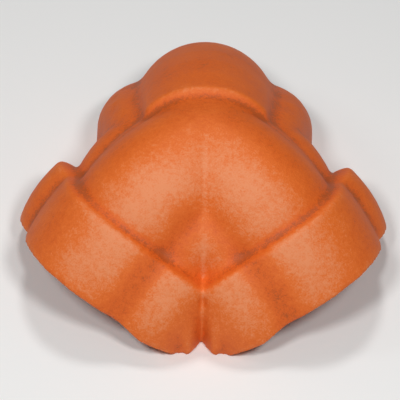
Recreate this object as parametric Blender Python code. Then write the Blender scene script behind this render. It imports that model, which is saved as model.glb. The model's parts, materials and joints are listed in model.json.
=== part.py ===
"""Three-way hip tile of fired clay: two hip arms and a ridge arm mitred into one hollow shell.

Metres, +Z up. The ridge arm points along +Y and the hip arms run out to the front on either
side of -Y. The centre of the junction is above the world origin until the tile is set down.
"""
import bpy
import bmesh
import numpy as np
from math import cos, radians, sin

# Section of an arm: a roll along the middle with a rounded shoulder on either side, the shoulders
# in the two corners beside the ridge arm a little wider than those in the front corner
ROLL_HALF_WIDTH = 0.0709
ROLL_RISE = 0.0499
SHOULDER_WIDTH = 0.0294
REAR_SHOULDER_GAIN = 0.0055
SHOULDER_HEIGHT = 0.0440
SHOULDER_FULLNESS = 1.10
VALLEY_FILLET = 0.0100
WALL = 0.0110

# Socket at the mouth of every arm: stepped out from the body, its roll and shoulders wider, and
# half way along a little fuller with rounder, narrower shoulders
SOCKET_STEP = 0.0109
SOCKET_BULGE = 0.0031
SOCKET_SPLAY = 0.0094
SOCKET_SHOULDER_GAIN = 0.0034
SOCKET_WAIST = 0.0030
WAIST_FULLNESS = 0.92
STEP_RUN = 0.0075

# Hip arms, measured along the curved line of the arm's base
HIP_SPREAD = radians(50.3)
HIP_LENGTH = 0.1728
HIP_BODY_LENGTH = 0.0863
HIP_START_SLOPE = radians(-10.8)
HIP_BODY_SLOPE = radians(43.4)
HIP_END_SLOPE = radians(40.4)
HIP_MOUTH_SLOPE = radians(43.9)

# Ridge arm, a little narrower than the hips and stepped out less
RIDGE_SHARE = 0.965
RIDGE_STEP = 0.0074
RIDGE_SPLAY = 0.0067
RIDGE_LENGTH = 0.1770
RIDGE_BODY_LENGTH = 0.0132
RIDGE_START_SLOPE = radians(15.2)
RIDGE_BODY_SLOPE = radians(16.8)
RIDGE_END_SLOPE = radians(35.6)
RIDGE_MOUTH_SLOPE = radians(39.2)

# How far the blending of two arms runs out from the mitre between them
MITRE_BLEND = 0.0700

# Facets
ROLL_FACETS = 8
FILLET_FACETS = 3
SHOULDER_FACETS = 7
BODY_RING_GAP = 0.0170
STEP_RINGS = 4
SOCKET_RINGS = 5
SOLVE_STEPS = 48
MERGE_GAP = 0.00005

CLAY_COLOUR = (0.60, 0.20, 0.07, 1.0)
CLAY_ROUGHNESS = 0.85


def smooth_step(share):
    """Rises from 0 to 1 with level ends."""
    s = np.clip(share, 0.0, 1.0)
    return s * s * (3.0 - 2.0 * s)


def hump(share):
    """Rises from 0 at either end to 1 in the middle."""
    s = np.clip(share, 0.0, 1.0)
    return 4.0 * s * (1.0 - s)


def fillet_corner(before, corner, after):
    """Points of a rounded corner, from the point before it to the point after it."""
    f = np.linspace(0.0, 1.0, FILLET_FACETS + 1)[:, None]
    return (1 - f) ** 2 * before + 2 * f * (1 - f) * corner + f ** 2 * after


def half_outline(share, inset, step=0.0, splay=0.0, gain=0.0, fullness=SHOULDER_FULLNESS):
    """Half a section from the crown down to the base, as across and height pairs."""
    half = ROLL_HALF_WIDTH * share + splay
    rise = ROLL_RISE * share
    top = SHOULDER_HEIGHT * share + step
    wide = (SHOULDER_WIDTH + gain) * share + step
    radius = (half ** 2 + rise ** 2) / (2.0 * rise)
    valley_turn = np.arcsin(half / radius)
    roll_turn = valley_turn - VALLEY_FILLET / radius
    turn = np.linspace(0.0, roll_turn, ROLL_FACETS + 1)
    roll = np.stack([radius * np.sin(turn), top + rise - radius * (1.0 - np.cos(turn))], 1)
    lead = VALLEY_FILLET / wide
    start = np.arccos(lead ** (1.0 / fullness))
    fall = np.linspace(start, 0.0, SHOULDER_FACETS + 1)
    shoulder = np.stack([half + wide * np.cos(fall) ** fullness,
                         top * np.sin(fall) ** fullness], 1)
    corner = fillet_corner(roll[-1], np.array([half, top]), shoulder[0])
    points = np.concatenate([roll, corner[1:-1], shoulder])
    along = np.gradient(points, axis=0)
    normal = np.stack([-along[:, 1], along[:, 0]], 1)
    normal[0] = (0.0, 1.0)
    normal[-1] = (1.0, 0.0)
    normal /= np.linalg.norm(normal, axis=1)[:, None]
    return points - normal * inset


class Arm:
    """One arm: a section carried along a line of two arcs that runs down from the junction."""

    def __init__(self, name, heading, section, lengths, slopes, mouth, rear_sides):
        self.name = name
        self.ahead = np.array([cos(heading), sin(heading), 0.0])
        self.across = np.array([-sin(heading), cos(heading), 0.0])
        self.share, self.step, self.splay = section
        self.body, self.length = lengths
        self.start, self.middle, self.end = slopes
        self.mouth = mouth
        self.rear_sides = rear_sides
        self.lift = 0.0

    def arc(self, run, slope, bend):
        """Reach and fall of an arc that sets out at a slope and bends evenly."""
        turn = bend * run / 2.0
        chord = run * np.sinc(turn / np.pi)
        return chord * np.cos(slope + turn), chord * np.sin(slope + turn)

    def line(self, run):
        """Reach, height and slope of the arm's base line at the given runs along it."""
        body_bend = (self.middle - self.start) / self.body
        socket_bend = (self.end - self.middle) / (self.length - self.body)
        behind = np.minimum(run, 0.0)
        near = np.clip(run, 0.0, self.body)
        far = np.maximum(run - self.body, 0.0)
        body_reach, body_fall = self.arc(near, self.start, body_bend)
        socket_reach, socket_fall = self.arc(far, self.middle, socket_bend)
        reach = behind * cos(self.start) + body_reach + socket_reach
        fall = behind * sin(self.start) + body_fall + socket_fall
        return reach, self.lift - fall, self.start + body_bend * near + socket_bend * far

    def place(self, run, across, up):
        """World points for runs, and offsets across and square to the base line."""
        reach, height, slope = self.line(run)
        out = reach + up * np.sin(slope)
        flat = out[..., None] * self.ahead + np.asarray(across)[..., None] * self.across
        flat[..., 2] = height + up * np.cos(slope)
        return flat

    def skin_point(self, run, side, inset, index):
        """World points of one skin for lines given by index and runs of the same shape."""
        gain = REAR_SHOULDER_GAIN if side in self.rear_sides else 0.0
        socket = gain + SOCKET_SHOULDER_GAIN
        plain = half_outline(self.share, inset, gain=gain)
        stepped = half_outline(self.share, inset, self.step, self.splay, socket)
        waist = half_outline(self.share, inset, self.step, self.splay,
                             socket - SOCKET_WAIST, WAIST_FULLNESS) - stepped
        midway = hump((run - self.body) / (self.length - self.body))[..., None]
        grown = smooth_step((run - self.body) / STEP_RUN)[..., None]
        grown = grown + midway * SOCKET_BULGE / self.step
        base = len(plain) - 1
        near = np.minimum(index, base)
        pair = plain[near] * (1.0 - grown) + stepped[near] * grown + waist[near] * midway
        reach, height, slope = self.line(run)
        up = np.where(index > base, -height / np.cos(slope), pair[..., 1])
        return self.place(run, side * pair[..., 0], up)

    def meet(self, side, inset, index, point, normal):
        """Runs at which the lines cross a plane, found by halving."""
        low = np.full(index.shape, -self.length)
        high = np.full(index.shape, 2.0 * self.length)
        for _ in range(SOLVE_STEPS):
            middle = (low + high) / 2.0
            inside = (self.skin_point(middle, side, inset, index) - point) @ normal < 0.0
            low = np.where(inside, middle, low)
            high = np.where(inside, high, middle)
        return (low + high) / 2.0

    def mouth_plane(self):
        """A point on the flat mouth and the direction that it faces."""
        middle = (SHOULDER_HEIGHT + ROLL_RISE) * self.share / 2.0
        point = self.place(np.array([self.length]), np.zeros(1), np.array([middle]))[0]
        facing = self.ahead * cos(self.mouth)
        facing[2] = -sin(self.mouth)
        return point, facing


def make_arms():
    """The ridge arm and the two hip arms, with the hip mouths' corners at the ground."""
    quarter = radians(90.0)
    ridge = Arm("ridge", quarter, (RIDGE_SHARE, RIDGE_STEP, RIDGE_SPLAY),
                (RIDGE_BODY_LENGTH, RIDGE_LENGTH),
                (RIDGE_START_SLOPE, RIDGE_BODY_SLOPE, RIDGE_END_SLOPE), RIDGE_MOUTH_SLOPE,
                (-1, 1))
    hips = [Arm(name, -quarter + side * HIP_SPREAD, (1.0, SOCKET_STEP, SOCKET_SPLAY),
                (HIP_BODY_LENGTH, HIP_LENGTH),
                (HIP_START_SLOPE, HIP_BODY_SLOPE, HIP_END_SLOPE), HIP_MOUTH_SLOPE, (side,))
            for name, side in (("right_hip", 1), ("left_hip", -1))]
    base = np.array([len(half_outline(1.0, 0.0)) - 1])
    point, facing = hips[0].mouth_plane()
    run = hips[0].meet(1, 0.0, base, point, facing)
    drop = hips[0].skin_point(run, 1, 0.0, base)[0, 2]
    for arm in (ridge, *hips):
        arm.lift = -drop
    return ridge, hips[0], hips[1]


def ridge_mitre():
    """Direction in plan of the mitre between the ridge arm and the right hip arm."""
    along = (1.0 / RIDGE_SHARE - cos(HIP_SPREAD)) / sin(HIP_SPREAD)
    direction = np.array([1.0, along, 0.0])
    return direction / np.linalg.norm(direction)


def ring_runs(arm, low, high):
    """Runs of every ring for every line, held between the mitre and the mouth."""
    start = float(low.min())
    body_rings = int(np.ceil(arm.body / BODY_RING_GAP)) + 1
    fixed = np.concatenate([np.linspace(start, arm.body, body_rings + 1)[:-1],
                            np.linspace(arm.body, arm.body + STEP_RUN, STEP_RINGS + 1)])
    rows = [np.maximum(run, low) for run in fixed]
    last = np.maximum(fixed[-1], low)
    rows += [last + (high - last) * k / SOCKET_RINGS for k in range(1, SOCKET_RINGS + 1)]
    return np.array(rows)


class Skin:
    """The outer or the inner face of the tile as rows of points for every half arm."""

    def __init__(self, arms, inset):
        self.inset = inset
        self.count = len(half_outline(1.0, inset)) + 1
        self.index = np.arange(self.count)
        ridge, right, left = arms
        back = ridge_mitre()
        mirrored = back * (-1.0, 1.0, 1.0)
        front = np.array([0.0, -1.0, 0.0])
        self.halves = {}
        for pair in (((ridge, -1), (right, 1), back), ((ridge, 1), (left, -1), mirrored),
                     ((right, -1), (left, 1), front)):
            self.mitred_pair(*pair)
        crown = np.mean([rows[0][0, 0] for rows in self.halves.values()], axis=0)
        for key, (rows, weight) in self.halves.items():
            rows[:, 0] += weight[:, 0, None] * (crown - rows[0, 0])
            self.halves[key] = rows

    def mitred_pair(self, one, other, direction):
        """Rows of the two half arms that meet in the upright plane along a direction."""
        normal = np.array([direction[1], -direction[0], 0.0])
        ends = []
        for arm, side in (one, other):
            toward = self.own_side(arm, normal)
            low = arm.meet(side, self.inset, self.index, np.zeros(3), toward)
            point, facing = arm.mouth_plane()
            high = arm.meet(side, self.inset, self.index, point, facing)
            ends.append((arm, side, low, high, arm.skin_point(low, side, self.inset, self.index)))
        shared = (ends[0][4] + ends[1][4]) / 2.0
        for arm, side, low, high, own in ends:
            runs = ring_runs(arm, low, high)
            index = np.broadcast_to(self.index, runs.shape)
            rows = arm.skin_point(runs, side, self.inset, index)
            weight = 1.0 - smooth_step((runs - low) / np.minimum(MITRE_BLEND, high - low))
            rows += weight[..., None] * (shared - own)
            toward = self.own_side(arm, normal)
            rows -= np.minimum(rows @ toward, 0.0)[..., None] * toward
            self.halves[arm.name, side] = (rows, weight)

    def own_side(self, arm, normal):
        """The mitre's direction turned to the side that an arm is on."""
        return normal if arm.ahead @ normal > 0.0 else -normal


class Shell:
    """Collects the faces of the closed shell, sharing the points that coincide."""

    def __init__(self):
        self.points = []
        self.faces = []
        self.known = {}

    def point(self, position):
        """Index of a point, the same one for all points in the same place."""
        key = tuple(int(round(float(value) / MERGE_GAP)) for value in position)
        if key not in self.known:
            self.known[key] = len(self.points)
            self.points.append(tuple(float(value) for value in position))
        return self.known[key]

    def face(self, corners):
        """One face, left out where it has closed up or lies in the mitre between the hips."""
        if max(abs(corner[0]) for corner in corners) < MERGE_GAP:
            return
        loop = []
        for corner in corners:
            number = self.point(corner)
            if number not in loop:
                loop.append(number)
        if len(loop) > 2:
            self.faces.append(loop)

    def sheet(self, rows, turned):
        """A sheet of faces between rows of points."""
        for ring in range(rows.shape[0] - 1):
            for line in range(rows.shape[1] - 1):
                corners = [rows[ring, line], rows[ring, line + 1],
                           rows[ring + 1, line + 1], rows[ring + 1, line]]
                self.face(corners[::-1] if turned else corners)


def build_shell(arms):
    """The whole tile: both skins, the flat mouths and the flat base between them."""
    outer = Skin(arms, 0.0)
    inner = Skin(arms, WALL)
    shell = Shell()
    for (name, side), rows in outer.halves.items():
        hollow = inner.halves[name, side]
        turned = side > 0
        shell.sheet(rows, turned)
        shell.sheet(hollow, not turned)
        shell.sheet(np.stack([rows[-1], hollow[-1]]), turned)
        shell.sheet(np.stack([rows[:, -1], hollow[:, -1]], 1), turned)
    return shell


def clay_material():
    """Plain fired clay."""
    clay = bpy.data.materials.new("clay")
    clay.use_nodes = True
    surface = clay.node_tree.nodes["Principled BSDF"]
    surface.inputs["Base Color"].default_value = CLAY_COLOUR
    surface.inputs["Roughness"].default_value = CLAY_ROUGHNESS
    return clay


def main():
    """Clears the file and builds the tile, set down with its box centred on the origin."""
    for old in list(bpy.data.objects):
        bpy.data.objects.remove(old, do_unlink=True)
    shell = build_shell(make_arms())
    points = np.array(shell.points)
    middle = (points.min(0) + points.max(0)) / 2.0
    points -= (middle[0], middle[1], points[:, 2].min())
    mesh = bpy.data.meshes.new("hip_tile")
    mesh.from_pydata([tuple(p) for p in points.tolist()], [], shell.faces)
    mesh.materials.append(clay_material())
    tile = bpy.data.objects.new("hip_tile", mesh)
    group = bpy.data.collections.new("hip_tile_parts")
    bpy.context.scene.collection.children.link(group)
    group.objects.link(tile)
    shaped = bmesh.new()
    shaped.from_mesh(mesh)
    bmesh.ops.recalc_face_normals(shaped, faces=shaped.faces)
    bmesh.ops.triangulate(shaped, faces=shaped.faces)
    shaped.to_mesh(mesh)
    shaped.free()


main()
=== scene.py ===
"""Looks of the hip tile: the fired clay shell with its soft mitres, and the studio round it.

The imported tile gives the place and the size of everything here. The visible shell starts as a
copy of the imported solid, is refined and softened as damp clay is by the maker's sponge, and
takes the place of that solid in every picture.
"""
import json
import logging
import math
from dataclasses import dataclass, field
from enum import Enum
from typing import Any, Iterable, Sequence

import bpy
import numpy as np
from mathutils import Matrix, Vector

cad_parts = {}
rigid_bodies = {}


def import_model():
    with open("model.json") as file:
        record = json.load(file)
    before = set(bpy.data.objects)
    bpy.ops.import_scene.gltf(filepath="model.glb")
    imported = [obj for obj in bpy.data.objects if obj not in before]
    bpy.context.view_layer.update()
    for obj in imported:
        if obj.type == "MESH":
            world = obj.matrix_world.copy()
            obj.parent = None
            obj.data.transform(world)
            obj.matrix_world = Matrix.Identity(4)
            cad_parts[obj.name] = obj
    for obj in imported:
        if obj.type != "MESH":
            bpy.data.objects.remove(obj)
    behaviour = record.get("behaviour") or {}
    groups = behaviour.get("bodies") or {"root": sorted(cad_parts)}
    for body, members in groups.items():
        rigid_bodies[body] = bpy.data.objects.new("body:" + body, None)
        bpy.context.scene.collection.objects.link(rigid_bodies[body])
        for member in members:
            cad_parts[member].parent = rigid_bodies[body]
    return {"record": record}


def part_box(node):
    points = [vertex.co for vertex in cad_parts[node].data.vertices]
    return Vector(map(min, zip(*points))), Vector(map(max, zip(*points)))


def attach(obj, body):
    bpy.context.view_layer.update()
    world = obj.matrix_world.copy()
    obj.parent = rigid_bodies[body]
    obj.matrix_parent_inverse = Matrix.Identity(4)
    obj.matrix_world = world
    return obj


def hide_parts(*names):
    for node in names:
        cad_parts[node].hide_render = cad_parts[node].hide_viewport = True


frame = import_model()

LOG = logging.getLogger("hip_tile")
NODE = "hip_tile"
BODY = "root"
PIECE = "clay_shell"
HIP_MOUTHS = ("right_hip_mouth", "left_hip_mouth")
MIDDLE = 0.5
Colour = tuple[float, float, float, float]


class Form(Enum):
    """What is stored about the form at each point of the shell, between 0 and 1; the clay's
    colour reads it to paint shade and highlight.
    """

    CREASE = "crease"
    HOLLOW = "hollow"
    PROUD = "proud"
    OPEN = "open"


class Lamp(Enum):
    """The lamps of the studio, by their place."""

    LEFT = "soft_lamp_front_left"
    RIGHT = "soft_lamp_front_right"
    BACK = "weak_lamp_above_the_back"
    SIDE = "weak_lamp_from_the_side"


@dataclass(frozen=True)
class Wire:
    """One output socket of a shader node, with arithmetic written as plain expressions."""

    board: "Board"
    socket: Any

    def _math(self, kind: str, left: Any, right: Any) -> "Wire":
        """Adds a Math node of one kind between two values."""
        return self.board.node("ShaderNodeMath", {"operation": kind}, {0: left, 1: right})

    def __add__(self, other: Any) -> "Wire":
        """Sum of two values."""
        return self._math("ADD", self, other)

    def __sub__(self, other: Any) -> "Wire":
        """Difference of two values."""
        return self._math("SUBTRACT", self, other)

    def __rsub__(self, other: Any) -> "Wire":
        """Difference from a plain number on the left."""
        return self._math("SUBTRACT", other, self)

    def __mul__(self, other: Any) -> "Wire":
        """Product of two values."""
        return self._math("MULTIPLY", self, other)

    def held(self) -> "Wire":
        """The value held between 0 and 1."""
        return self.board.node("ShaderNodeClamp", {}, {"Value": self})


class Board:
    """The node tree of one material and the one way in which nodes are put on it."""

    def __init__(self, material: bpy.types.Material) -> None:
        """Clears the material's tree and lays out its surface shader.

        Args:
            material: The material whose nodes are laid out.
        """
        material.use_nodes = True
        self.tree = material.node_tree
        self.tree.nodes.clear()
        self.surface = self.tree.nodes.new("ShaderNodeBsdfPrincipled")
        output = self.tree.nodes.new("ShaderNodeOutputMaterial")
        self.tree.links.new(self.surface.outputs["BSDF"], output.inputs["Surface"])

    def node(self, kind: str, settings: dict[str, Any], inputs: dict[Any, Any],
             output: Any = 0) -> Wire:
        """Adds one node.

        Args:
            kind: The node's type name.
            settings: Its settings, set before its sockets; "stops" fills a colour ramp.
            inputs: Values or wires by socket name or number.
            output: The name or number of the output wanted.

        Returns:
            The wire at that output.
        """
        made = self.tree.nodes.new(kind)
        stops = settings.pop("stops", None)
        for name, value in settings.items():
            setattr(made, name, value)
        if stops:
            ramp = made.color_ramp
            while len(ramp.elements) < len(stops):
                ramp.elements.new(MIDDLE)
            for element, (place, colour) in zip(ramp.elements, stops):
                element.position = place
                element.color = colour
        for name, value in inputs.items():
            self.plug(made.inputs[name], value)
        return Wire(self, made.outputs[output])

    def plug(self, socket: Any, value: Any) -> None:
        """Puts a wire or a plain value on an input socket.

        Args:
            socket: The input socket.
            value: A wire, a number or a colour.
        """
        if isinstance(value, Wire):
            self.tree.links.new(value.socket, socket)
        else:
            socket.default_value = value

    def set(self, name: str, value: Any) -> None:
        """Sets one socket of the surface shader.

        Args:
            name: The socket's name.
            value: A wire, a number or a colour.
        """
        self.plug(self.surface.inputs[name], value)

    def place(self) -> Wire:
        """The object's own coordinates, in metres."""
        return self.node("ShaderNodeTexCoord", {}, {}, "Object")

    def attribute(self, form: "Form") -> Wire:
        """A value stored on the piece's points."""
        return self.node("ShaderNodeAttribute", {"attribute_name": form.value}, {}, "Fac")

    def noise(self, place: Wire, fleck: "Fleck") -> Wire:
        """Cloudy noise between 0 and 1.

        Args:
            place: Coordinates.
            fleck: The size and detail of its patches.

        Returns:
            The noise value.
        """
        inputs = {"Vector": place, "Scale": 1.0 / fleck.size, "Detail": fleck.detail,
                  "Roughness": fleck.rough}
        return self.node("ShaderNodeTexNoise", {"noise_dimensions": "3D"}, inputs, "Fac")

    def ramp(self, value: Wire, stops: Sequence[tuple[float, Colour]]) -> Wire:
        """A colour ramp read at a value."""
        return self.node("ShaderNodeValToRGB", {"stops": stops}, {"Fac": value}, "Color")

    def range(self, value: Wire, low: float, high: float, to_low: float,
              to_high: float) -> Wire:
        """A value carried from one range to another and held there."""
        inputs = {"Value": value, "From Min": low, "From Max": high,
                  "To Min": to_low, "To Max": to_high}
        return self.node("ShaderNodeMapRange", {"clamp": True}, inputs, "Result")

    def bump(self, height: Wire, depth: float, strength: float, under: Any = None) -> Wire:
        """A bump of a depth in metres, laid over another normal."""
        inputs: dict[Any, Any] = {"Height": height, "Distance": depth, "Strength": strength}
        if under is not None:
            inputs["Normal"] = under
        return self.node("ShaderNodeBump", {}, inputs, "Normal")


@dataclass(frozen=True)
class Fleck:
    """One layer of cloudy noise in the clay.

    The size of its patches is in metres, detail counts its finer layers, rough is their share,
    and share is how far it shifts the colour.
    """

    size: float
    detail: float
    rough: float
    share: float

    def shift(self, noise: Wire) -> Wire:
        """How far the noise shifts the colour, to either side of none."""
        return (noise - MIDDLE) * self.share


@dataclass(frozen=True)
class FiredClay:
    """Unglazed orange terracotta with a fine open grain, with painted highlight where it faces
    front and up and on proud places, and painted shade in hollows and creases.
    """

    # From dark to pale: random tone spreads over the whole ramp; painted shade pulls the colour
    # towards dark and painted highlight towards pale.
    dark: Colour = (0.460, 0.080, 0.006, 1.0)
    deep: Colour = (0.700, 0.110, 0.003, 1.0)
    bright: Colour = (0.780, 0.152, 0.012, 1.0)
    pale: Colour = (0.810, 0.262, 0.100, 1.0)
    deep_stop: float = 0.25
    bright_stop: float = 0.62
    cloud: Fleck = Fleck(0.040, 4.0, 0.55, 0.60)
    blotch: Fleck = Fleck(0.005, 3.0, 0.60, 0.65)
    grain: Fleck = Fleck(0.0016, 2.0, 0.60, 0.75)
    blotch_depth: float = 0.0008
    blotch_force: float = 0.35
    grain_depth: float = 0.0007
    grain_force: float = 0.5
    blotch_range: tuple[float, float] = (0.3, 0.7)
    roughness: tuple[float, float] = (0.58, 0.70)
    gloss: float = 0.5
    # The shares below, all but the ground tone, paint light into the colour: highlight on proud
    # places and on places facing front and up, shade in hollows and in creases.
    proud_highlight: float = 0.40
    highlight_share: float = 0.60
    hollow_shade: float = 0.12
    ground: float = 0.34
    crease_shade: float = 0.36

    def material(self) -> bpy.types.Material:
        """Builds the clay's material.

        Returns:
            The material, reading the tile's own coordinates.
        """
        clay = bpy.data.materials.new("fired_clay")
        board = Board(clay)
        place = board.place()
        cloud = board.noise(place, self.cloud)
        blotch = board.noise(place, self.blotch)
        grain = board.noise(place, self.grain)
        fleck = self.cloud.shift(cloud) + self.blotch.shift(blotch) + self.grain.shift(grain)
        # Painted highlight: paler where the shell faces front and up, and where it is proud.
        painted_highlight = (board.attribute(Form.OPEN) + board.attribute(Form.PROUD) * self.proud_highlight).held()
        painted_highlight = painted_highlight * self.highlight_share
        hollow = board.attribute(Form.HOLLOW)
        # Painted shade: darker in hollows here and in creases on the next line; the flecks and
        # the ground tone are the clay's own.
        share = painted_highlight * (1.0 - hollow) - hollow * self.hollow_shade + fleck + self.ground
        share = (share - board.attribute(Form.CREASE) * self.crease_shade).held()
        stops = ((0.0, self.dark), (self.deep_stop, self.deep),
                 (self.bright_stop, self.bright), (1.0, self.pale))
        board.set("Base Color", board.ramp(share, stops))
        board.set("Roughness", board.range(blotch, *self.blotch_range, *self.roughness))
        board.set("Specular IOR Level", self.gloss)
        soft = board.bump(blotch, self.blotch_depth, self.blotch_force)
        board.set("Normal", board.bump(grain, self.grain_depth, self.grain_force, soft))
        return clay


@dataclass(frozen=True)
class StudioFloor:
    """Plain pale floor paint."""

    colour: Colour = (0.90, 0.90, 0.89, 1.0)
    roughness: float = 0.9
    gloss: float = 0.2

    def material(self) -> bpy.types.Material:
        """Builds the floor's plain material."""
        paint = bpy.data.materials.new("pale_floor")
        board = Board(paint)
        board.set("Base Color", self.colour)
        board.set("Roughness", self.roughness)
        board.set("Specular IOR Level", self.gloss)
        return paint


def deselect() -> None:
    """Leaves nothing selected."""
    for other in bpy.context.view_layer.objects:
        other.select_set(False)


def only(thing: bpy.types.Object) -> None:
    """Selects one object and nothing else.

    Args:
        thing: The object to select and make active.
    """
    deselect()
    thing.select_set(True)
    bpy.context.view_layer.objects.active = thing


def copy_of(thing: bpy.types.Object) -> bpy.types.Object:
    """A copy of an object, selected and active."""
    only(thing)
    bpy.ops.object.duplicate()
    return bpy.context.view_layer.objects.active


def modify(thing: bpy.types.Object, kind: str, **settings: Any) -> None:
    """Adds a modifier, sets it and applies it.

    Args:
        thing: The object to change.
        kind: The modifier's type.
        settings: Its settings by name.
    """
    only(thing)
    modifier = thing.modifiers.new(kind.lower(), kind)
    for name, value in settings.items():
        setattr(modifier, name, value)
    bpy.ops.object.modifier_apply(modifier=modifier.name)


def rise(values: np.ndarray, low: float, high: float) -> np.ndarray:
    """A smooth rise from 0 at the low value to 1 at the high one."""
    share = np.clip((values - low) / (high - low), 0.0, 1.0)
    return share * share * (3.0 - 2.0 * share)


def swell(values: np.ndarray, middle: float, width: float) -> np.ndarray:
    """A smooth swelling round a middle value."""
    return np.exp(-((values - middle) / width) ** 2)


def rows_of(thing: bpy.types.Object, what: str = "co") -> np.ndarray:
    """The places or the normals of a mesh's points as rows."""
    flat = np.empty(3 * len(thing.data.vertices), np.float32)
    thing.data.vertices.foreach_get(what, flat)
    return flat.reshape(-1, 3).astype(float)


def move_points(thing: bpy.types.Object, places: np.ndarray) -> None:
    """Puts the points of a mesh at new places."""
    thing.data.vertices.foreach_set("co", places.astype(np.float32).ravel())
    thing.data.update()


def weigh(thing: bpy.types.Object, name: str, weights: np.ndarray, least: float = 0.0) -> str:
    """Stores weights as a vertex group.

    Args:
        thing: The object to mark.
        name: The group's name.
        weights: One weight for each point.
        least: Points at or below this weight are left out.

    Returns:
        The name of the group.
    """
    group = thing.vertex_groups.new(name=name)
    for number in np.flatnonzero(weights > least).tolist():
        group.add([number], float(weights[number]), "REPLACE")
    return group.name


def hip_mouths() -> list[dict[str, Any]]:
    """The mounts on the flat mouths of the two hip sockets."""
    return [mount for mount in frame["record"]["mounts"] if mount["name"] in HIP_MOUTHS]


@dataclass
class ThumbPress:
    """How the maker's thumb works the front of a hip socket.

    It fills the valley a little, flattens the shoulder a little, draws the rim out to a wave,
    and smears clay into the groove between the two sockets. It also lays a strip of painted
    shade along each front valley, in the colour only.
    """

    valley_line: float = 0.0800
    valley_width: float = 0.0100
    valley_fill: float = 0.0030
    shoulder_line: float = 0.1050
    shoulder_width: float = 0.0130
    shoulder_press: float = 0.0025
    rim_wave: float = 0.0036
    rim_dip: float = 0.25
    socket_reach: tuple[float, float] = (-0.078, -0.045)
    rim_reach: tuple[float, float] = (-0.040, 0.0)
    floor_guard: tuple[float, float] = (0.001, 0.016)
    web_line: float = 0.0120
    web_width: float = 0.0085
    web_height: float = 0.055
    web_depth: float = 0.0100
    web_reach: tuple[float, float] = (0.150, 0.172)
    # A strip of painted shade along each front valley, in the clay's colour only.
    band_line: float = 0.0760
    band_width: float = 0.0125
    shade_band_share: float = 0.9

    def measure(self, places: np.ndarray, mouth: dict[str, Any]) -> tuple[np.ndarray, ...]:
        """Measures points along and across a hip arm from its mouth.

        Args:
            places: Points of the shell.
            mouth: The mount on the socket's flat mouth.

        Returns:
            Runs out past the mouth, places across to the front, and the axes down through the
            arm's section and out of its mouth.
        """
        facing = np.array(mouth["axis"])
        ahead = facing * (1.0, 1.0, 0.0)
        ahead /= np.linalg.norm(ahead)
        front = np.array((ahead[1], -ahead[0], 0.0)) * np.sign(ahead[0])
        down = np.cross(front, facing) * -np.sign(ahead[0])
        offset = places - np.array(mouth["pos_m"])
        return offset @ facing, offset @ front, down, facing

    def shade_band(self, places: np.ndarray, mouth: dict[str, Any]) -> np.ndarray:
        """A strip of painted shade along the front valley of an arm, from 0 to 1, on the arm's
        own side.
        """
        _, across, _, facing = self.measure(places, mouth)
        own = places[:, 0] * facing[0] > 0.0
        return own * self.shade_band_share * swell(across, self.band_line, self.band_width)

    def web(self, places: np.ndarray) -> np.ndarray:
        """The clay smeared into the groove between the two front shoulders.

        Args:
            places: Points of the shell.

        Returns:
            How far each point is moved.
        """
        cheeks = swell(np.abs(places[:, 0]), self.web_line, self.web_width)
        low = 1.0 - rise(places[:, 2], 0.0, self.web_height)
        depth = self.web_depth * cheeks * low * rise(-places[:, 1], *self.web_reach)
        to_front = np.array((0.0, -1.0, 0.0))
        return depth[:, None] * to_front

    def press(self, places: np.ndarray, mouth: dict[str, Any]) -> np.ndarray:
        """Works one hip socket.

        Args:
            places: Points of the shell.
            mouth: The mount on the socket's flat mouth.

        Returns:
            How far each point is moved.
        """
        run, across, down, facing = self.measure(places, mouth)
        near = rise(run, *self.socket_reach) * (across > 0.0)
        near *= rise(places[:, 2], *self.floor_guard)
        valley = swell(across, self.valley_line, self.valley_width)
        shoulder = swell(across, self.shoulder_line, self.shoulder_width)
        sunk = self.shoulder_press * shoulder - self.valley_fill * valley
        wave = self.rim_wave * (shoulder - self.rim_dip * valley) * rise(run, *self.rim_reach)
        return (near * sunk)[:, None] * down + (near * wave)[:, None] * facing


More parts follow.
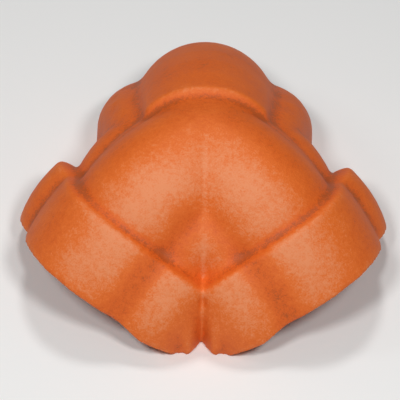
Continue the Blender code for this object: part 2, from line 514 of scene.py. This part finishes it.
@dataclass
class ClayShell:
    """The tile's one piece: a hollow shell, softened where the arms were joined in wet clay."""

    merge_gap: float = 0.00002
    quad_turn: float = math.radians(30.0)
    quad_shape: float = math.radians(60.0)
    grain: float = 0.0026
    sponge_passes: int = 4
    sponge_force: float = 0.5
    sponge_least: float = 0.12
    fillet_passes: int = 14
    fillet_least: float = 0.02
    crease_passes: int = 14
    crease_depth: float = 0.00045
    broad_passes: int = 110
    hollow_depth: float = 0.0024
    # The direction that the painted highlight faces: points turned this way are painted paler.
    highlight_side: Vector = field(default_factory=lambda: Vector((-0.05, -0.66, 0.75)))
    open_range: tuple[float, float] = (0.58, 1.02)
    edge_guard: float = 0.010
    flat_guard: float = 0.0012
    thumb: ThumbPress = field(default_factory=ThumbPress)
    wipe_middle: tuple[float, float, float] = (0.0, -0.134, 0.084)
    wipe_width: float = 0.024
    wipe_passes: int = 110
    wipe_least: float = 0.05
    # Where painted shade is left out: round the wiped field, and along the front mitre.
    unshaded_width: float = 0.034
    crease_unshade_share: float = 0.75
    strip_unshade_share: float = 0.5
    # Where a painted highlight line runs down the front mitre, and how it is left out at the
    # crossing.
    crossing: tuple[float, float, float] = (0.0, -0.150, 0.062)
    crossing_width: float = 0.012
    seam_end: float = -0.030
    seam_width: float = 0.0018
    seam_highlight: float = 0.7
    seam_unshade_width: float = 0.012
    finish: FiredClay = field(default_factory=FiredClay)

    def copy_solid(self) -> bpy.types.Object:
        """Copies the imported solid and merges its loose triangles.

        Returns:
            The copy, under its own name.
        """
        shell = copy_of(bpy.data.objects[NODE])
        shell.name = shell.data.name = PIECE
        shell.parent = None
        only(shell)
        bpy.ops.object.mode_set(mode="EDIT")
        bpy.ops.mesh.select_all(action="SELECT")
        bpy.ops.mesh.remove_doubles(threshold=self.merge_gap)
        bpy.ops.mesh.tris_convert_to_quads(face_threshold=self.quad_turn,
                                           shape_threshold=self.quad_shape)
        bpy.ops.object.mode_set(mode="OBJECT")
        return shell

    def refine(self, shell: bpy.types.Object) -> bpy.types.Object:
        """Rebuilds the shell's faces at an even fine size and drops the crumbs.

        Args:
            shell: The shell to refine.

        Returns:
            The one connected shell that is left.
        """
        modify(shell, "REMESH", mode="VOXEL", voxel_size=self.grain, adaptivity=0.0,
               use_smooth_shade=True)
        bpy.ops.object.mode_set(mode="EDIT")
        bpy.ops.mesh.select_all(action="SELECT")
        bpy.ops.mesh.separate(type="LOOSE")
        bpy.ops.object.mode_set(mode="OBJECT")
        pieces = sorted(bpy.context.selected_objects, key=lambda one: len(one.data.vertices))
        for crumb in pieces[:-1]:
            bpy.data.objects.remove(crumb, do_unlink=True)
        whole = pieces[-1]
        whole.name = whole.data.name = PIECE
        return whole

    def press(self, shell: bpy.types.Object) -> None:
        """Works the front of both hip sockets by thumb.

        Args:
            shell: The shell to press.
        """
        places = rows_of(shell)
        moved = places + self.thumb.web(places)
        moved += sum(self.thumb.press(places, mouth) for mouth in hip_mouths())
        move_points(shell, moved)

    def smooth(self, shell: bpy.types.Object, passes: int, group: str = "") -> None:
        """Smooths the shell, all of it or by the weights of a vertex group."""
        modify(shell, "SMOOTH", factor=self.sponge_force, iterations=passes, vertex_group=group)

    def sink(self, shell: bpy.types.Object, passes: int) -> tuple[np.ndarray, np.ndarray]:
        """Compares the shell with a smoothed copy of itself.

        Args:
            shell: The shell to read.
            passes: How often the copy is smoothed.

        Returns:
            How deep each point lies under the copy, and the copy's normals.
        """
        broad = copy_of(shell)
        self.smooth(broad, passes)
        turned = rows_of(broad, "normal")
        depth = ((rows_of(broad) - rows_of(shell)) * rows_of(shell, "normal")).sum(1)
        bpy.data.objects.remove(broad, do_unlink=True)
        return depth, turned

    def read_form(self, shell: bpy.types.Object) -> dict[Form, np.ndarray]:
        """Reads the form of the shell at every point.

        Args:
            shell: The shell to read.

        Returns:
            How creased, hollow, proud and open to the front and the sky each point is.
        """
        narrow, _ = self.sink(shell, self.crease_passes)
        depth, turned = self.sink(shell, self.broad_passes)
        facing = turned @ np.array(self.highlight_side.normalized())
        low, high = self.open_range
        return {
            Form.CREASE: np.clip(narrow / self.crease_depth, 0.0, 1.0),
            Form.HOLLOW: np.clip(depth / self.hollow_depth, 0.0, 1.0),
            Form.PROUD: np.clip(-depth / self.hollow_depth, 0.0, 1.0),
            Form.OPEN: np.clip((facing - low) / (high - low), 0.0, 1.0) ** 2,
        }

    def store(self, shell: bpy.types.Object, form: Form, values: np.ndarray) -> None:
        """Stores one value for each point of the shell."""
        layer = shell.data.attributes.new(form.value, "FLOAT", "POINT")
        layer.data.foreach_set("value", values.astype(np.float32))

    def away(self, places: np.ndarray, middle: Sequence[float]) -> np.ndarray:
        """How far each place is from a middle."""
        return np.linalg.norm(places - np.array(middle), axis=1)

    def soften(self, shell: bpy.types.Object) -> None:
        """Softens the lips and steps, fills the creases and wipes the field between the hips.

        Args:
            shell: The shell to soften.
        """
        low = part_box(NODE)[0][2]
        height = (rows_of(shell)[:, 2] - low) / self.edge_guard
        sponge = weigh(shell, "sponge", np.clip(height, self.sponge_least, 1.0))
        self.smooth(shell, self.sponge_passes, sponge)
        hollow = self.read_form(shell)[Form.HOLLOW]
        self.smooth(shell, self.fillet_passes, weigh(shell, "creases", hollow, self.fillet_least))
        field_share = swell(self.away(rows_of(shell), self.wipe_middle), 0.0, self.wipe_width)
        wiped = weigh(shell, "wiped", field_share, self.wipe_least)
        self.smooth(shell, self.wipe_passes, wiped)
        places = rows_of(shell)
        places[places[:, 2] < low + self.flat_guard, 2] = low
        move_points(shell, places)
        shell.vertex_groups.clear()

    def mark(self, shell: bpy.types.Object) -> None:
        """Stores the form at every point, for the painted shade and highlight in the clay's
        colour.

        Args:
            shell: The softened shell.
        """
        forms = self.read_form(shell)
        places = rows_of(shell)
        # Painted highlight: a light line down the front mitre, where crease shade is also taken
        # off.
        front = places[:, 1] < self.seam_end
        seam = front * swell(places[:, 0], 0.0, self.seam_width)
        seam *= 1.0 - swell(self.away(places, self.crossing), 0.0, self.crossing_width)
        # Painted shade is taken off round the wiped field and along the front mitre.
        unshaded = np.maximum(swell(self.away(places, self.wipe_middle), 0.0, self.unshaded_width),
                           front * swell(places[:, 0], 0.0, self.seam_unshade_width))
        forms[Form.HOLLOW] *= 1.0 - unshaded
        forms[Form.CREASE] *= (1.0 - seam) * (1.0 - self.crease_unshade_share * unshaded)
        forms[Form.PROUD] = np.maximum(forms[Form.PROUD], seam * self.seam_highlight)
        # Painted shade in a strip along each front valley, weaker in the wiped field.
        for mouth in hip_mouths():
            strip = self.thumb.shade_band(places, mouth) * (1.0 - self.strip_unshade_share * unshaded)
            forms[Form.HOLLOW] = np.maximum(forms[Form.HOLLOW], strip)
        for form, values in forms.items():
            self.store(shell, form, values)

    def build(self) -> bpy.types.Object:
        """Builds and dresses the shell.

        Returns:
            The finished piece.
        """
        shell = self.copy_solid()
        shell = self.refine(shell)
        self.press(shell)
        self.soften(shell)
        self.mark(shell)
        shell.data.materials.clear()
        shell.data.materials.append(self.finish.material())
        only(shell)
        bpy.ops.object.shade_smooth()
        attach(shell, BODY)
        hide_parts(NODE)
        return shell


@dataclass(frozen=True)
class Stand:
    """Where one lamp stands round the tile, how wide it is and how strong."""

    lamp: Lamp
    azimuth: float
    elevation: float
    power: float
    size: float = 0.45
    distance: float = 2.2

    def place(self, aim: Vector) -> Vector:
        """The lamp's place.

        Args:
            aim: The point that it is turned to.

        Returns:
            Its place in the scene.
        """
        reach = self.distance * math.cos(self.elevation)
        return aim + Vector((math.sin(self.azimuth) * reach, -math.cos(self.azimuth) * reach,
                             self.distance * math.sin(self.elevation)))


@dataclass
class Studio:
    """Floor, lamps and surrounding light."""

    floor_half: float = 2.5
    finish: StudioFloor = field(default_factory=StudioFloor)
    surround: Colour = (1.0, 1.0, 1.0, 1.0)
    surround_strength: float = 0.08
    aim: Vector = field(default_factory=lambda: Vector((0.0, 0.0, 0.075)))
    stands: tuple[Stand, ...] = (
        Stand(Lamp.LEFT, math.radians(-30.0), math.radians(55.0), 16.0),
        Stand(Lamp.RIGHT, math.radians(30.0), math.radians(55.0), 16.5),
        Stand(Lamp.BACK, math.radians(180.0), math.radians(68.0), 12.0),
        Stand(Lamp.SIDE, math.radians(-90.0), math.radians(40.0), 3.0),
    )

    def lay_floor(self, low: float) -> bpy.types.Object:
        """Lays the floor under the tile.

        Args:
            low: Height of the tile's underside.

        Returns:
            The floor.
        """
        deselect()
        bpy.ops.mesh.primitive_plane_add(size=2.0 * self.floor_half, location=(0.0, 0.0, low))
        floor = bpy.context.view_layer.objects.active
        floor.name = "studio_floor"
        bpy.ops.object.transform_apply(location=True, rotation=True, scale=True)
        floor.data.materials.append(self.finish.material())
        return floor

    def hang(self, stand: Stand) -> None:
        """Hangs one soft lamp and turns it to the tile.

        Args:
            stand: Which lamp it is and where it stands.
        """
        light = bpy.data.lights.new(stand.lamp.value, "AREA")
        light.shape = "DISK"
        light.size = stand.size
        light.energy = stand.power
        holder = bpy.data.objects.new(stand.lamp.value, light)
        holder.location = stand.place(self.aim)
        holder.rotation_euler = (self.aim - holder.location).to_track_quat("-Z", "Y").to_euler()
        bpy.context.scene.collection.objects.link(holder)

    def light(self) -> None:
        """Sets the surrounding light and hangs the lamps."""
        scene = bpy.context.scene
        world = bpy.data.worlds.new("studio")
        world.use_nodes = True
        back = world.node_tree.nodes["Background"]
        back.inputs["Color"].default_value = self.surround
        back.inputs["Strength"].default_value = self.surround_strength
        scene.world = world
        for stand in self.stands:
            self.hang(stand)
        scene.view_settings.view_transform = "Standard"


@dataclass
class View:
    """The camera, standing where the photograph was taken from."""

    elevation: float = math.radians(45.87)
    azimuth: float = math.radians(0.45)
    roll: float = math.radians(1.59)
    distance: float = 2.446
    aim: Vector = field(default_factory=lambda: Vector((-0.0044, -0.0284, 0.0598)))
    focal_share: float = 5.615
    sensor: float = 36.0

    def stand(self) -> tuple[Vector, Vector, Vector, Vector]:
        """Where the camera stands and how it is turned.

        Returns:
            Its place, and its right, up and forward directions.
        """
        ahead = Vector((math.sin(self.azimuth) * math.cos(self.elevation),
                        math.cos(self.azimuth) * math.cos(self.elevation),
                        -math.sin(self.elevation)))
        right = Vector((math.cos(self.azimuth), -math.sin(self.azimuth), 0.0))
        up = right.cross(ahead)
        turn = Matrix.Rotation(-self.roll, 3, ahead)
        return self.aim - ahead * self.distance, turn @ right, turn @ up, ahead

    def build(self) -> bpy.types.Object:
        """Sets up the camera.

        Returns:
            The camera object.
        """
        eye, right, up, ahead = self.stand()
        lens = bpy.data.cameras.new("view")
        lens.sensor_width = self.sensor
        lens.lens = self.sensor * self.focal_share
        camera = bpy.data.objects.new("view", lens)
        turn = Matrix((right, up, -ahead)).transposed().to_4x4()
        camera.matrix_world = Matrix.Translation(eye) @ turn
        bpy.context.scene.collection.objects.link(camera)
        bpy.context.scene.camera = camera
        return camera


def main() -> None:
    """Builds the pieces in order and reports the shell's number of faces."""
    logging.basicConfig(level=logging.INFO, format="%(name)s: %(message)s")
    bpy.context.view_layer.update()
    View().build()
    studio = Studio()
    studio.lay_floor(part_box(NODE)[0][2])
    studio.light()
    shell = ClayShell().build()
    LOG.info("%s: %d faces", shell.name, len(shell.data.polygons))


if __name__ == "__main__":
    main()
